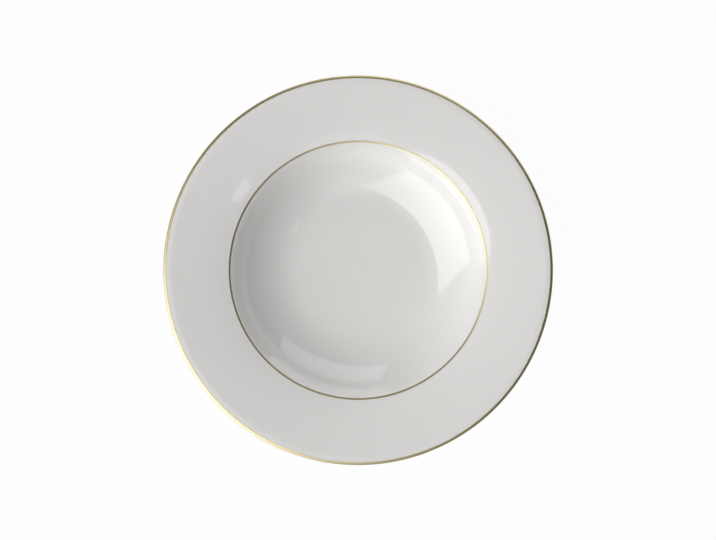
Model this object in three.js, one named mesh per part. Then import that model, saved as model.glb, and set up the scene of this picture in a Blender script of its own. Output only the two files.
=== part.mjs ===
// A deep plate of glazed white porcelain with a wide rim and two lines of gold.
// Millimetres, +Z up. The origin is on the plate's axis, on the surface that it stands on.
//
// A plate is turned on a wheel, so one outline drives every piece: the glazed surface, drawn
// from the middle of the well, over the wall, verge, rim and lip, and back under to the foot.
// The porcelain lies inside that outline by the thickness of the glaze, the glaze fills the
// space between them, and the gold lies on top. The foot ring stands on bare porcelain, so
// the glaze is two coats: one over the whole plate and one inside the ring.

import * as THREE from "three";

// Driving dimensions of the well and the rim, measured on the glazed face
const PLATE_DIAMETER = 240;
const VERGE_DIAMETER = 157.6; // the corner where the rim turns down into the well, before its rounding
const WELL_DEPTH = 21.4; // from the verge to the floor
const WALL_RUN = 40; // level distance from the verge in to the edge of the flat floor
const WALL_ANGLE = 45.8; // degrees above level, where the wall is straight
const WALL_TOP_ANGLE = 40.8; // degrees above level, just inside the verge
const WALL_TOP_WIDTH = 3.7;
const WALL_TOP_ROUNDING = 72;
const VERGE_ROUNDING = 7.5;
const SHOULDER_ANGLE = 14.8; // degrees above level, just outside the verge
const SHOULDER_WIDTH = 10.5;
const SHOULDER_ROUNDING = 213;
const RIM_ANGLE = 9.9; // degrees above level, out to the lip
const LIP_ANGLE = 0.5; // degrees above level, where the rim levels out to its lip
const LIP_WIDTH = 4.3;
const LIP_ROUNDING = 12;
const LIP_FALL_ANGLE = 30; // degrees below level, where the lip falls away to its edge
const LIP_FALL_WIDTH = 1.2;
const LIP_FALL_ROUNDING = 3.7;
const LIP_EDGE_ROUNDING = 0.6;
const LIP_BACK_ROUNDING = 1;

// Thickness of the wall from glazed face to glazed back
const FLOOR_THICKNESS = 4.2;
const WALL_THICKNESS = 3.8;
const RIM_THICKNESS = 3.4;
const LIP_THICKNESS = 2.8;
const BACK_VERGE_ROUNDING = 14;

// Foot ring
const FOOT_SETBACK = 8; // from where the wall's back would meet the base, in to the ring
const FOOT_WIDTH = 4.4;
const FOOT_HEIGHT = 2.8; // from the table up to the base inside the ring
const FOOT_FILLET = 1.5; // where the ring meets the back and the base
const FOOT_EDGE_ROUNDING = 0.8; // on the bare porcelain that meets the table
const BARE_HEIGHT = 1.1; // how far up the ring the glaze is wiped off

// Coats
const GLAZE_THICKNESS = 0.3;
const RIM_LINE_WIDTH = 1.65; // on the face, in from the edge of the lip
const RIM_LINE_WRAP = 0.7; // under the lip
const VERGE_LINE_WIDTH = 1.1;
const VERGE_LINE_SETOUT = 0.9; // level distance from the verge out to the middle of its line
const GOLD_THICKNESS = 0.12;
const BOND_GAP = 0.02; // clearance between a coat and what it is fired onto

// Facets
const ROUND_SEGMENTS = 48;
const CHORD_ERROR = 0.1;
const LARGEST_TURN = 30; // degrees from one facet of a rounding to the next
const FEWEST_FACETS = 2; // in a rounding
const SHORTEST_FACET = 0.05;

const heading = (degrees) => {
  const angle = THREE.MathUtils.degToRad(degrees);
  return new THREE.Vector2(Math.cos(angle), Math.sin(angle));
};
const slope = (degrees) => Math.tan(THREE.MathUtils.degToRad(degrees));
const leftOf = (v) => new THREE.Vector2(-v.y, v.x);
const corner = (radius, height, round = 0) => ({
  at: new THREE.Vector2(radius, height),
  round,
});

// The point where the line through p along d crosses the line through q along e.
function crossing(p, d, q, e) {
  const reach = q.clone().sub(p).cross(e) / d.cross(e);
  return p.clone().addScaledVector(d, reach);
}

// A run of { at, out } along straight legs with rounded corners: a point, and the direction
// that leaves the piece there. The piece lies to the right of the run. Roundings that share
// a leg too short for both give way alike.
function roundedRun(corners) {
  const legs = corners.slice(1).map((c, i) => c.at.clone().sub(corners[i].at));
  const along = legs.map((leg) => leg.clone().normalize());
  const last = corners.length - 1;
  const turns = corners.map((c, i) => {
    if (i === 0 || i === last) return 0;
    return Math.atan2(along[i - 1].cross(along[i]), along[i - 1].dot(along[i]));
  });
  const wanted = corners.map((c, i) => c.round * Math.tan(Math.abs(turns[i]) / 2));
  const share = legs.map((leg, i) => {
    const taken = wanted[i] + wanted[i + 1];
    return taken > leg.length() ? leg.length() / taken : 1;
  });
  const run = [];
  const add = (at, out) => {
    const before = run.at(-1);
    if (!before || before.at.distanceTo(at) > SHORTEST_FACET) run.push({ at, out });
  };
  corners.forEach((c, i) => {
    if (i === 0 || i === last) {
      add(c.at.clone(), leftOf(along[i === 0 ? 0 : last - 1]));
      return;
    }
    const [arriving, leaving] = [leftOf(along[i - 1]), leftOf(along[i])];
    const tangent = wanted[i] * Math.min(share[i - 1], share[i]);
    if (tangent === 0) {
      const mitre = arriving.clone().add(leaving);
      add(c.at.clone(), mitre.divideScalar(1 + arriving.dot(leaving)));
      return;
    }
    const side = Math.sign(turns[i]);
    const radius = tangent / Math.tan(Math.abs(turns[i]) / 2);
    const start = c.at.clone().addScaledVector(along[i - 1], -tangent);
    const centre = start.clone().addScaledVector(arriving, side * radius);
    const facet = 2 * Math.acos(Math.max(0, 1 - CHORD_ERROR / radius));
    const largest = THREE.MathUtils.degToRad(LARGEST_TURN);
    const needed = Math.ceil(Math.abs(turns[i]) / Math.min(facet, largest));
    const steps = Math.max(needed, FEWEST_FACETS);
    for (let k = 0; k <= steps; k++) {
      const out = arriving.clone().rotateAround(new THREE.Vector2(), (turns[i] * k) / steps);
      add(centre.clone().addScaledVector(out, -side * radius), out);
    }
  });
  return run;
}

const moved = (run, distance) => run.map(({ at, out }) => at.clone().addScaledVector(out, distance));

// Distance along a run to where it crosses a radius, on its way out (sense 1) or back in (sense -1).
function distanceAtRadius(run, radius, sense) {
  let walked = 0;
  for (let i = 1; i < run.length; i++) {
    const [a, b] = [run[i - 1].at, run[i].at];
    const share = (radius - a.x) / (b.x - a.x);
    const crosses = share >= 0 && share <= 1 && Math.sign(b.x - a.x) === sense;
    if (crosses) return walked + share * a.distanceTo(b);
    walked += a.distanceTo(b);
  }
  throw new Error(`the outline doesn't reach a radius of ${radius} mm`);
}

// The stretch of a run between two distances along it.
function stretch(run, from, to) {
  const cut = [];
  let walked = 0;
  for (let i = 1; i < run.length; i++) {
    const [a, b] = [run[i - 1], run[i]];
    const length = a.at.distanceTo(b.at);
    const between = (distance) => {
      const share = (distance - walked) / length;
      return { at: a.at.clone().lerp(b.at, share), out: a.out.clone().lerp(b.out, share).normalize() };
    };
    if (cut.length === 0 && from < walked + length) cut.push(between(from));
    if (cut.length > 0 && to <= walked + length) return [...cut, between(to)];
    if (cut.length > 0) cut.push(b);
    walked += length;
  }
  return cut;
}

// A named piece turned round the plate's axis from a profile of (radius, height) points.
function turned(name, profile, material) {
  const geometry = new THREE.LatheGeometry([...profile].reverse(), ROUND_SEGMENTS);
  geometry.rotateX(Math.PI / 2);
  const mesh = new THREE.Mesh(geometry, material);
  mesh.name = name;
  return mesh;
}

// Levels and places on the face
const plateRadius = PLATE_DIAMETER / 2;
const verge = new THREE.Vector2(VERGE_DIAMETER / 2, FOOT_HEIGHT + FLOOR_THICKNESS + WELL_DEPTH);
const floorLevel = verge.y - WELL_DEPTH;
const floorEdge = verge.x - WALL_RUN;
const wallTop = new THREE.Vector2(
  verge.x - WALL_TOP_WIDTH,
  verge.y - WALL_TOP_WIDTH * slope(WALL_TOP_ANGLE),
);
const wallFoot = wallTop.x - (wallTop.y - floorLevel) / slope(WALL_ANGLE);
const wallRounding = (wallFoot - floorEdge) / slope(WALL_ANGLE / 2);
const shoulder = new THREE.Vector2(
  verge.x + SHOULDER_WIDTH,
  verge.y + SHOULDER_WIDTH * slope(SHOULDER_ANGLE),
);
const lipRadius = plateRadius - LIP_WIDTH;
const lip = new THREE.Vector2(lipRadius, shoulder.y + (lipRadius - shoulder.x) * slope(RIM_ANGLE));
const fallRadius = plateRadius - LIP_FALL_WIDTH;
const fall = new THREE.Vector2(fallRadius, lip.y + (fallRadius - lip.x) * slope(LIP_ANGLE));
const edgeLevel = fall.y - LIP_FALL_WIDTH * slope(LIP_FALL_ANGLE);

// Places on the back: the wall's back is parallel to its face, and the underside of the rim
// thins from the shoulder to the lip
const wallHeading = heading(WALL_ANGLE);
const wallBack = wallTop.clone().addScaledVector(leftOf(wallHeading), -WALL_THICKNESS);
const rimBack = new THREE.Vector2(shoulder.x, shoulder.y - RIM_THICKNESS);
const lipBack = new THREE.Vector2(plateRadius, fall.y - LIP_THICKNESS);
const vergeBack = crossing(lipBack, rimBack.clone().sub(lipBack), wallBack, wallHeading);

// The back swells from the foot ring to the wall along an arc that follows the wall's own
const bellyBottom = crossing(wallBack, wallHeading, new THREE.Vector2(0, FOOT_HEIGHT), heading(0));
const footOuter = bellyBottom.x - FOOT_SETBACK;
const footInner = footOuter - FOOT_WIDTH;
const bellyRounding = (bellyBottom.x - floorEdge) / slope(WALL_ANGLE / 2);
const bellyAngle = Math.asin(Math.max(0, footOuter - floorEdge) / bellyRounding);
const footTop = new THREE.Vector2(footOuter, FOOT_HEIGHT + bellyRounding * (1 - Math.cos(bellyAngle)));
const bellyHeading = heading(THREE.MathUtils.radToDeg(bellyAngle));
const belly = crossing(footTop, bellyHeading, wallBack, wallHeading);

// The glazed surface over the plate, from the middle of the well to the wiped edge of the foot
const plateRun = roundedRun([
  corner(0, floorLevel),
  corner(wallFoot, floorLevel, wallRounding),
  corner(wallTop.x, wallTop.y, WALL_TOP_ROUNDING),
  corner(verge.x, verge.y, VERGE_ROUNDING),
  corner(shoulder.x, shoulder.y, SHOULDER_ROUNDING),
  corner(lip.x, lip.y, LIP_ROUNDING),
  corner(fall.x, fall.y, LIP_FALL_ROUNDING),
  corner(plateRadius, edgeLevel, LIP_EDGE_ROUNDING),
  corner(plateRadius, lipBack.y, LIP_BACK_ROUNDING),
  corner(vergeBack.x, vergeBack.y, BACK_VERGE_ROUNDING),
  corner(belly.x, belly.y, bellyRounding),
  corner(footOuter, footTop.y, FOOT_FILLET),
  corner(footOuter, BARE_HEIGHT),
]);

// The glazed surface inside the foot ring, from its wiped edge to the middle of the base
const baseRun = roundedRun([
  corner(footInner, BARE_HEIGHT),
  corner(footInner, FOOT_HEIGHT, FOOT_FILLET),
  corner(0, FOOT_HEIGHT),
]);

// The bare porcelain of the foot ring, set in from the glaze by the depth of the coat
const coatDepth = GLAZE_THICKNESS + BOND_GAP;
const footRun = roundedRun([
  corner(footOuter - coatDepth, BARE_HEIGHT),
  corner(footOuter - coatDepth, 0, FOOT_EDGE_ROUNDING),
  corner(footInner + coatDepth, 0, FOOT_EDGE_ROUNDING),
  corner(footInner + coatDepth, BARE_HEIGHT),
]);

const porcelain = () => new THREE.MeshStandardMaterial({ color: 0xece9e2, roughness: 0.85, metalness: 0 });
const glaze = () => new THREE.MeshStandardMaterial({ color: 0xf0efec, roughness: 0.05, metalness: 0 });
const gold = () => new THREE.MeshStandardMaterial({ color: 0xc4ba8b, roughness: 0.5, metalness: 1 });

// The fired body: floor, wall, rim and foot ring in one piece of porcelain
function porcelainBody() {
  const profile = [
    ...moved(plateRun, -coatDepth),
    ...moved(footRun.slice(1, -1), 0),
    ...moved(baseRun, -coatDepth),
  ];
  return turned("porcelain_body", profile, porcelain());
}

// Clear glaze over the face, the lip and the back, down to the foot ring
function plateGlaze() {
  const profile = [...moved(plateRun, 0), ...moved(plateRun, -GLAZE_THICKNESS).reverse()];
  return turned("plate_glaze", profile, glaze());
}

// Clear glaze on the base, inside the foot ring
function baseGlaze() {
  const profile = [...moved(baseRun, -GLAZE_THICKNESS).reverse(), ...moved(baseRun, 0)];
  return turned("base_glaze", profile, glaze());
}

// A ring of gold fired onto a stretch of the glaze
function goldLine(name, from, to) {
  const band = stretch(plateRun, from, to);
  const ring = [...moved(band, BOND_GAP + GOLD_THICKNESS), ...moved(band, BOND_GAP).reverse()];
  return turned(name, [...ring, ring[0]], gold());
}

// Gold over the lip
function rimGoldLine() {
  const from = distanceAtRadius(plateRun, plateRadius - RIM_LINE_WIDTH, 1);
  const to = distanceAtRadius(plateRun, plateRadius - RIM_LINE_WRAP, -1);
  return goldLine("rim_gold_line", from, to);
}

// Gold along the verge
function vergeGoldLine() {
  const middle = distanceAtRadius(plateRun, verge.x + VERGE_LINE_SETOUT, 1);
  return goldLine("verge_gold_line", middle - VERGE_LINE_WIDTH / 2, middle + VERGE_LINE_WIDTH / 2);
}

const plate = new THREE.Group();
plate.name = "deep_plate";
plate.add(porcelainBody(), plateGlaze(), baseGlaze(), rimGoldLine(), vergeGoldLine());

export default plate;
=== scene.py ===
# A deep plate of glazed white porcelain with a gold line on its lip and another on its verge.
# Metres, +Z up. The plate stands at z = 0, with its axis on the origin.
#
# Every piece is turned again, much more finely, from the outline of the CAD node that it stands
# for. The CAD outline is a chain of chords, and its round stretches are filled in here. The gold
# is then laid on the rounded glaze.

import math

import bmesh
import bpy
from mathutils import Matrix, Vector


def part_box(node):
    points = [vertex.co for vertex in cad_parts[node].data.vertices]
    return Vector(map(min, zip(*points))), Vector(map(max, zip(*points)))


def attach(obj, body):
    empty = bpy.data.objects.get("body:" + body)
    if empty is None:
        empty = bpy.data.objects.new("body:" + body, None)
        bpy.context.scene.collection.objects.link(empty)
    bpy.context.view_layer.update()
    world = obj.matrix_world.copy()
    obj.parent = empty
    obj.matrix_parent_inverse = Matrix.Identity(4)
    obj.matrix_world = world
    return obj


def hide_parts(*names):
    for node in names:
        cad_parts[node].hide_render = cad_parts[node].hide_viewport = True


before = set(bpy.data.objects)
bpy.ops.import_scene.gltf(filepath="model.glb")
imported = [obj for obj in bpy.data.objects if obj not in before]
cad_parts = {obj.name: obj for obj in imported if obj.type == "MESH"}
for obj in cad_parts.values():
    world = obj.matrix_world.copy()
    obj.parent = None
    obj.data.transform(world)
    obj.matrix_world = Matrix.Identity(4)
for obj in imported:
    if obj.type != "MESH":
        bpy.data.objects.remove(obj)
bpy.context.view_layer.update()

# Turning
ROUND_STEPS = 288
LONGEST_STEP = 0.0015
GOLD_STEP = 0.00012
LARGEST_TURN = math.radians(4)  # from one fine step to the next
SHARP_TURN = math.radians(60)  # a corner of the CAD outline that isn't part of a rounding
STRAIGHT_TURN = 1e-6  # radians, below which a chord stays straight
EDGE_ROUNDING = 0.00004
SAME_POINT = 1e-6
KEPT_DIGITS = 7  # of a coordinate in metres

# Glaze, from its darker to its lighter clouds
GLAZE_COLOURS = ((0.861, 0.853, 0.834), (0.879, 0.871, 0.853))
GLAZE_ROUGHNESS = (0.03, 0.05)
GLAZE_IOR = 1.5
CLOUD_SIZE = 0.03
SMEAR_SIZE = 0.006
RIPPLE_SIZE = 0.004
RIPPLE_DEPTH = 0.000004

# Bare porcelain, from its darker to its lighter grains
PORCELAIN_COLOURS = ((0.79, 0.76, 0.70), (0.89, 0.87, 0.82))
PORCELAIN_ROUGHNESS = (0.6, 0.9)
GRAIN_SIZE = 0.0004
GRAIN_DEPTH = 0.00004

# Gold, from its darker to its lighter streaks
GOLD_COLOURS = ((0.535, 0.467, 0.268), (0.635, 0.561, 0.338))
GOLD_ROUGHNESS = (0.4, 0.51)
STREAK_WIDTH = 0.00025
STREAK_DEPTH = 0.000004
STREAK_SQUEEZE = 0.004  # metres of noise to a radian round the plate, so that the streaks are long

# The photograph's frame, and the plate in it
PHOTO_WIDTH = 716
PHOTO_HEIGHT = 540
PLATE_CENTRE_PX = (357.66, 269.76)  # counted from the middle of the first pixel
PLATE_RADIUS_PX = 194.85
CAMERA_HEIGHT = 1.56  # above the lip
CAMERA_REACH = 100
SENSOR_WIDTH = 36.0

# Studio. Radiance 1 is white, and rises are sines of the height above level, seen from the plate.
LAMP_DISTANCE = 2.0
HORIZON_RADIANCE = 0.12
DIM_RADIANCE = 0.07
HORIZON_RISE = math.sin(math.radians(0.5))
DIM_RISE = math.sin(math.radians(6.5))
BACKDROP_FADE_RISE = math.sin(math.radians(2.5))
BACKDROP_END_RISE = math.sin(math.radians(4))
FLOOR_WIDTH = 60
FLOOR_COLOUR = (0.8, 0.8, 0.8)
FLOOR_ROUGHNESS = 0.9
FLOOR_WHITENESS = 0.97  # the rest of what is seen of it is its own colour, with the plate's shadow


def placed(name, data):
    """A new object in the scene."""
    made = bpy.data.objects.new(name, data)
    bpy.context.scene.collection.objects.link(made)
    return made


# Outlines

def wrapped(angle):
    return math.remainder(angle, math.tau)


def heading_of(step):
    return math.atan2(step.y, step.x)


def towards(heading, length=1.0):
    return Vector((math.cos(heading), math.sin(heading))) * length


def cad_outline(node):
    """A turned CAD node's cut along +X, as (radius, height) points in order, and whether it closes."""
    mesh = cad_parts[node].data
    on_cut = {}
    for vertex in mesh.vertices:
        x, y, z = vertex.co
        if abs(y) < SAME_POINT and x > -SAME_POINT:
            on_cut[vertex.index] = (round(max(x, 0.0), KEPT_DIGITS), round(z, KEPT_DIGITS))
    links = {}
    for edge in mesh.edges:
        a, b = (on_cut.get(i) for i in edge.vertices)
        if a and b and a != b:
            links.setdefault(a, set()).add(b)
            links.setdefault(b, set()).add(a)
    ends = [point for point, others in links.items() if len(others) == 1]
    point = max(ends or links, key=lambda p: p[1])
    path = []
    while point:
        path.append(point)
        ahead = sorted(links[point] - set(path))
        point = ahead[0] if ahead else None
    return [Vector(p) for p in path], not ends


def filled_in(points, closed, arcs=True, longest=LONGEST_STEP):
    """The same outline in fine steps, with its corners just eased and its round stretches as arcs."""
    count = len(points)
    chords = count if closed else count - 1
    steps = [points[(i + 1) % count] - points[i] for i in range(chords)]
    headings = [heading_of(step) for step in steps]
    lengths = [step.length for step in steps]

    def chord(i):
        """The chord's number, or None past the end of an open outline."""
        if closed:
            return i % chords
        return i if 0 <= i < chords else None

    def turn_before(i):
        before = chord(i - 1)
        return 0.0 if before is None else wrapped(headings[i] - headings[before])

    def is_sharp(i):
        return abs(turn_before(i)) > SHARP_TURN

    def circle_heading(i, other, sense):
        """Heading at an end of chord i, on the circle that chord i and its neighbour share, and how
        alike the two are. The sense is -1 with the chord after, and 1 with the one before."""
        if other is None or is_sharp(other if sense < 0 else i):
            return headings[i], 0.0
        turn = wrapped(headings[other] - headings[i])
        evenness = min(lengths[i], lengths[other]) / max(lengths[i], lengths[other])
        return headings[i] - turn * lengths[i] / (lengths[i] + lengths[other]), evenness

    def heading_at(i):
        """Heading at the start of chord i, from the side whose two chords are most alike."""
        leaving = circle_heading(i, chord(i + 1), -1)
        before = chord(i - 1)
        if before is None or is_sharp(i):
            return leaving[0]
        arriving = circle_heading(before, chord(before - 1), 1)
        return max(leaving, arriving, key=lambda found: found[1])[0]

    def heading_at_end(i):
        after = chord(i + 1)
        if after is None or is_sharp(after):
            return circle_heading(i, chord(i - 1), 1)[0]
        return heading_at(after)

    outline = []
    for i in range(chords):
        start, step = points[i], steps[i]
        if is_sharp(i):
            arriving, leaving = towards(headings[chord(i - 1)]), towards(headings[i])
            outline.append(start - arriving * EDGE_ROUNDING)
            outline.append(start + (leaving - arriving) * EDGE_ROUNDING * (1 - math.sqrt(0.5)))
            outline.append(start + leaving * EDGE_ROUNDING)
        else:
            outline.append(start)
        first, last = (heading_at(i), heading_at_end(i)) if arcs else (headings[i], headings[i])
        turn = wrapped(last - first)
        bent = abs(turn) > STRAIGHT_TURN
        pull = lengths[i] * (2 * math.tan(turn / 4) / math.sin(turn / 2) if bent else 1.0)
        pieces = max(math.ceil(abs(turn) / LARGEST_TURN), math.ceil(lengths[i] / longest))
        for k in range(1, pieces):
            t = k / pieces
            outline.append(
                start
                + step * (t * t * (3 - 2 * t))
                + towards(first, pull * t * (1 - t) ** 2)
                - towards(last, pull * t * t * (1 - t))
            )
    if not closed:
        outline.append(points[-1])
    return outline


def nearest(point, outline):
    """The nearest place on a closed outline, the way out of it there, and how far out the point is."""
    ends = list(zip(outline, outline[1:] + outline[:1]))
    sense = math.copysign(1, sum(a.cross(b) for a, b in ends))

    def place_on(a, b):
        along = b - a
        share = (point - a).dot(along) / along.length_squared
        return a + along * min(max(share, 0), 1), Vector((along.y, -along.x)).normalized() * sense

    place, out = min((place_on(a, b) for a, b in ends), key=lambda found: (point - found[0]).length)
    return place, out, math.copysign((point - place).length, (point - place).dot(out))


def gold_outline(node):
    """The outline of a line of gold, moved from the chords of the CAD glaze onto the rounded glaze."""
    chords, closed = cad_outline("plate_glaze")
    rounded = filled_in(chords, closed)
    outline = []
    for point in filled_in(*cad_outline(node), arcs=False, longest=GOLD_STEP):
        height = nearest(point, chords)[2]
        place, out, _ = nearest(point, rounded)
        outline.append(place + out * height)
    return outline


def turned(name, node, material, outline=None):
    """Make the piece that stands for a CAD node, turned round the axis."""
    points, closed = cad_outline(node)
    outline = outline or filled_in(points, closed)
    shape = bmesh.new()
    rings = []
    for radius, height in outline:
        if radius < SAME_POINT:
            rings.append([shape.verts.new((0, 0, height))] * ROUND_STEPS)
            continue
        ring = []
        for k in range(ROUND_STEPS):
            angle = math.tau * k / ROUND_STEPS
            ring.append(shape.verts.new((radius * math.cos(angle), radius * math.sin(angle), height)))
        rings.append(ring)
    pairs = list(zip(rings, rings[1:]))
    if closed:
        pairs.append((rings[-1], rings[0]))
    for low, high in pairs:
        for k in range(ROUND_STEPS):
            after = (k + 1) % ROUND_STEPS
            corners = dict.fromkeys((low[k], low[after], high[after], high[k]))
            shape.faces.new(corners)
    bmesh.ops.recalc_face_normals(shape, faces=shape.faces)
    mesh = bpy.data.meshes.new(name)
    shape.to_mesh(mesh)
    shape.free()
    mesh.shade_smooth()
    mesh.materials.append(material)
    piece = placed(name, mesh)
    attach(piece, "root")
    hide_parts(node)


# Materials

class Nodes:
    """A material's or the world's node tree, with short ways to add and join nodes."""

    def __init__(self, owner):
        owner.use_nodes = True
        self.tree = owner.node_tree

    def get(self, kind):
        return next(node for node in self.tree.nodes if node.bl_idname == kind)

    def add(self, kind, **settings):
        node = self.tree.nodes.new(kind)
        for name, value in settings.items():
            if name in node.inputs:
                node.inputs[name].default_value = value
            else:
                setattr(node, name, value)
        return node

    def join(self, output, socket):
        self.tree.links.new(output, socket)

    def place(self):
        """The object's own coordinates."""
        return self.add("ShaderNodeTexCoord").outputs["Object"]

    def combined(self, operation, first, second):
        """Two values put together. The second is another node's output or a number."""
        node = self.add("ShaderNodeMath", operation=operation)
        self.join(first, node.inputs[0])
        if isinstance(second, float):
            node.inputs[1].default_value = second
        else:
            self.join(second, node.inputs[1])
        return node.outputs["Value"]

    def moved(self, operation, vector, constant):
        """A vector put together with a constant one."""
        node = self.add("ShaderNodeVectorMath", operation=operation)
        self.join(vector, node.inputs[0])
        node.inputs[1].default_value = constant
        return node.outputs["Vector"]

    def length(self, vector):
        node = self.add("ShaderNodeVectorMath", operation="LENGTH")
        self.join(vector, node.inputs[0])
        return node.outputs["Value"]

    def apart(self, vector):
        """A vector's X, Y and Z."""
        node = self.add("ShaderNodeSeparateXYZ")
        self.join(vector, node.inputs["Vector"])
        return node.outputs["X"], node.outputs["Y"], node.outputs["Z"]

    def mapped(self, value, low, high, start=0.0, end=1.0, kind="LINEAR"):
        """A value that goes from start to end, spread from low to high."""
        spread = self.add("ShaderNodeMapRange", interpolation_type=kind)
        for name, level in (("From Min", start), ("From Max", end), ("To Min", low), ("To Max", high)):
            spread.inputs[name].default_value = level
        self.join(value, spread.inputs["Value"])
        return spread.outputs["Result"]

    def seen(self, in_gloss=None):
        """1 for what the camera sees, straight or in gloss or glass, and 0 for light on a surface.
        A value from 0 to 1, in_gloss, can limit what shows in gloss and glass."""
        rays = self.add("ShaderNodeLightPath").outputs
        mirrored = self.combined("MAXIMUM", rays["Is Glossy Ray"], rays["Is Transmission Ray"])
        if in_gloss:
            mirrored = self.combined("MULTIPLY", mirrored, in_gloss)
        return self.combined("MAXIMUM", rays["Is Camera Ray"], mirrored)

    def noise(self, vector, size, detail=2.0):
        """Noise whose features are about so many metres across."""
        texture = self.add("ShaderNodeTexNoise", Scale=1 / size, Detail=detail)
        self.join(vector, texture.inputs["Vector"])
        return texture.outputs["Fac"]

    def blend(self, factor, low, high):
        """A colour between two others."""
        mix = self.add("ShaderNodeMix", data_type="RGBA")
        for socket in mix.inputs:
            if socket.type == "RGBA" and socket.name in "AB":
                socket.default_value = (*(low if socket.name == "A" else high), 1)
        self.join(factor, mix.inputs["Factor"])
        return next(s for s in mix.outputs if s.type == "RGBA")

    def bump(self, height, depth):
        node = self.add("ShaderNodeBump", Strength=1.0, Distance=depth)
        self.join(height, node.inputs["Height"])
        return node.outputs["Normal"]


def finished(name, finish):
    """A new material, whose finish gives its colour, roughness and bump from its nodes and place."""
    material = bpy.data.materials.new(name)
    nodes = Nodes(material)
    shader = nodes.get("ShaderNodeBsdfPrincipled")
    colour, roughness, normal = finish(nodes, nodes.place())
    nodes.join(colour, shader.inputs["Base Color"])
    nodes.join(roughness, shader.inputs["Roughness"])
    nodes.join(normal, shader.inputs["Normal"])
    return material, shader


def glaze_finish(nodes, place):
    """White porcelain under clear glaze: clouded very faintly, glossy, with a trace of ripple."""
    clouds = nodes.noise(place, CLOUD_SIZE, detail=4)
    smears = nodes.noise(place, SMEAR_SIZE)
    ripple = nodes.noise(place, RIPPLE_SIZE)
    return (
        nodes.blend(clouds, *GLAZE_COLOURS),
        nodes.mapped(smears, *GLAZE_ROUGHNESS),
        nodes.bump(ripple, RIPPLE_DEPTH),
    )


def porcelain_finish(nodes, place):
    """Bare fired porcelain: matte, warm white, with a fine grain."""
    grain = nodes.noise(place, GRAIN_SIZE, detail=6)
    return (
        nodes.blend(grain, *PORCELAIN_COLOURS),
        nodes.mapped(grain, *PORCELAIN_ROUGHNESS),
        nodes.bump(grain, GRAIN_DEPTH),
    )


def gold_finish(nodes, place):
    """Pale satin gold, fired on with a brush held to the turning plate, so its strokes run round it."""
    x, y, _ = nodes.apart(place)
    strokes = nodes.add("ShaderNodeCombineXYZ")
    along = nodes.combined("MULTIPLY", nodes.combined("ARCTAN2", y, x), STREAK_SQUEEZE)
    nodes.join(along, strokes.inputs["X"])
    nodes.join(nodes.length(place), strokes.inputs["Y"])
    streaks = nodes.noise(strokes.outputs["Vector"], STREAK_WIDTH, detail=3)
    return (
        nodes.blend(streaks, *GOLD_COLOURS),
        nodes.mapped(streaks, *GOLD_ROUGHNESS),
        nodes.bump(streaks, STREAK_DEPTH),
    )


# The plate
glaze, glaze_shader = finished("glazed_porcelain", glaze_finish)
glaze_shader.inputs["IOR"].default_value = GLAZE_IOR
gold, gold_shader = finished("fired_gold", gold_finish)
gold_shader.inputs["Metallic"].default_value = 1.0
porcelain, _ = finished("bare_porcelain", porcelain_finish)
turned("body", "porcelain_body", porcelain)
turned("face_and_back_glaze", "plate_glaze", glaze)
turned("foot_well_glaze", "base_glaze", glaze)
turned("lip_gold", "rim_gold_line", gold, gold_outline("rim_gold_line"))
turned("verge_gold", "verge_gold_line", gold, gold_outline("verge_gold_line"))


# Camera, straight above the plate as in the photograph
lip_low, lip_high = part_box("rim_gold_line")
lip_radius = lip_high.x
lip_level = (lip_low.z + lip_high.z) / 2
metres_per_px = lip_radius / PLATE_RADIUS_PX
camera = bpy.data.cameras.new("camera")
camera.sensor_width = SENSOR_WIDTH
camera.lens = SENSOR_WIDTH * CAMERA_HEIGHT / (PHOTO_WIDTH * metres_per_px)
camera.clip_end = CAMERA_REACH
camera_object = placed("camera", camera)
camera_object.location = (
    ((PHOTO_WIDTH - 1) / 2 - PLATE_CENTRE_PX[0]) * metres_per_px,
    (PLATE_CENTRE_PX[1] - (PHOTO_HEIGHT - 1) / 2) * metres_per_px,
    lip_level + CAMERA_HEIGHT,
)
bpy.context.scene.camera = camera_object


# Lamps. Their azimuths and zeniths are in degrees, seen from the plate.

def pointing(azimuth, zenith):
    around, down = math.radians(azimuth), math.radians(zenith)
    return Vector((math.sin(down) * math.cos(around), math.sin(down) * math.sin(around), math.cos(down)))


def hang(lamp, azimuth, zenith, tilt=0.0):
    """Put a lamp in its place, out of the camera's sight and facing the plate. A tilt, in degrees,
    stands it more upright."""
    lamp.location = pointing(azimuth, zenith) * LAMP_DISTANCE
    lamp.rotation_euler = pointing(azimuth, zenith + tilt).to_track_quat("Z", "Y").to_euler()
    lamp.visible_camera = False


def flat_sheet(name, width, height, material):
    """A level rectangle about the origin, for the studio's floor and softboxes."""
    corners = [(x * width / 2, y * height / 2, 0) for x, y in ((-1, -1), (1, -1), (1, 1), (-1, 1))]
    mesh = bpy.data.meshes.new(name)
    mesh.from_pydata(corners, [], [(0, 1, 2, 3)])
    mesh.materials.append(material)
    sheet = placed(name, mesh)
    return sheet


def diffuser_material(name, middle, edge, spot_at, spot_reach):
    """A lit diffuser, at its middle radiance by its lamp and its edge radiance out of the lamp's reach."""
    material = bpy.data.materials.new(name)
    nodes = Nodes(material)
    nodes.tree.nodes.remove(nodes.get("ShaderNodeBsdfPrincipled"))
    from_lamp = nodes.moved("SUBTRACT", nodes.place(), (*spot_at, 0))
    share = nodes.length(nodes.moved("DIVIDE", from_lamp, (*spot_reach, 1)))
    glow = nodes.add("ShaderNodeEmission")
    nodes.join(nodes.mapped(share, middle, edge, kind="SMOOTHSTEP"), glow.inputs["Strength"])
    nodes.join(glow.outputs["Emission"], nodes.get("ShaderNodeOutputMaterial").inputs["Surface"])
    return material


def softbox(name, azimuth, zenith, tilt, width, height, **glow):
    box = flat_sheet(name, width, height, diffuser_material(name, **glow))
    hang(box, azimuth, zenith, tilt)
    box.visible_shadow = False


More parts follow.
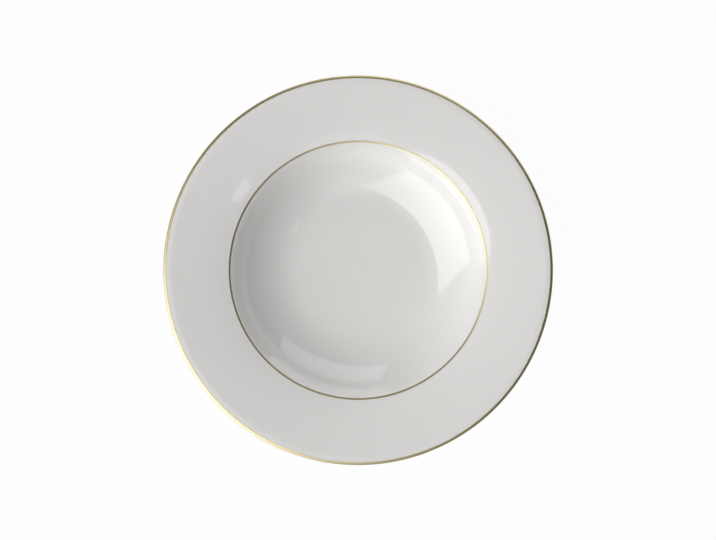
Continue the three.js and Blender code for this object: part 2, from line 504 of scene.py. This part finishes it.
def panel(name, azimuth, zenith, width, height, radiance):
    """An evenly lit panel."""
    light = bpy.data.lights.new(name, "AREA")
    light.shape = "RECTANGLE"
    light.size = width
    light.size_y = height
    light.energy = radiance * math.pi * width * height
    hang(placed(name, light), azimuth, zenith)


softbox(
    "main_softbox", azimuth=214.5, zenith=50, tilt=10, width=2.43, height=2.42,
    middle=3.67, edge=2.4, spot_at=(-0.16, 0.45), spot_reach=(1.25, 3),
)
panel("side_reflector", azimuth=278.2, zenith=35.5, width=0.64, height=1.04, radiance=0.8)
panel("far_reflector", azimuth=73.6, zenith=70, width=2.2, height=1.18, radiance=1.82)
panel("small_lamp", azimuth=326, zenith=20, width=0.12, height=0.19, radiance=2.0)


# Dim surroundings that fade into the floor, and a white backdrop that lights nothing. The camera
# sees it behind the plate, and the plate mirrors its lowest part.
world = bpy.data.worlds.new("studio")
bpy.context.scene.world = world
sky = Nodes(world)
_, _, rise = sky.apart(sky.add("ShaderNodeTexCoord").outputs["Generated"])
surroundings = sky.mapped(rise, HORIZON_RADIANCE, DIM_RADIANCE, HORIZON_RISE, DIM_RISE, "SMOOTHSTEP")
low_band = sky.mapped(rise, 1.0, 0.0, BACKDROP_FADE_RISE, BACKDROP_END_RISE, "SMOOTHSTEP")
background = sky.get("ShaderNodeBackground")
background.inputs["Color"].default_value = (1, 1, 1, 1)
sky.join(sky.combined("MAXIMUM", surroundings, sky.seen(low_band)), background.inputs["Strength"])


def floor_material():
    """A pale floor that reads as white and still keeps a trace of the plate's shadow."""
    material = bpy.data.materials.new("white_floor")
    nodes = Nodes(material)
    shader = nodes.get("ShaderNodeBsdfPrincipled")
    shader.inputs["Base Color"].default_value = (*FLOOR_COLOUR, 1)
    shader.inputs["Roughness"].default_value = FLOOR_ROUGHNESS
    white = nodes.add("ShaderNodeEmission", Strength=1.0)
    mix = nodes.add("ShaderNodeMixShader")
    nodes.join(nodes.mapped(nodes.seen(), 0.0, FLOOR_WHITENESS), mix.inputs["Fac"])
    nodes.join(shader.outputs["BSDF"], mix.inputs[1])
    nodes.join(white.outputs["Emission"], mix.inputs[2])
    nodes.join(mix.outputs["Shader"], nodes.get("ShaderNodeOutputMaterial").inputs["Surface"])
    return material


flat_sheet("floor", FLOOR_WIDTH, FLOOR_WIDTH, floor_material())

bpy.context.scene.view_settings.view_transform = "Standard"
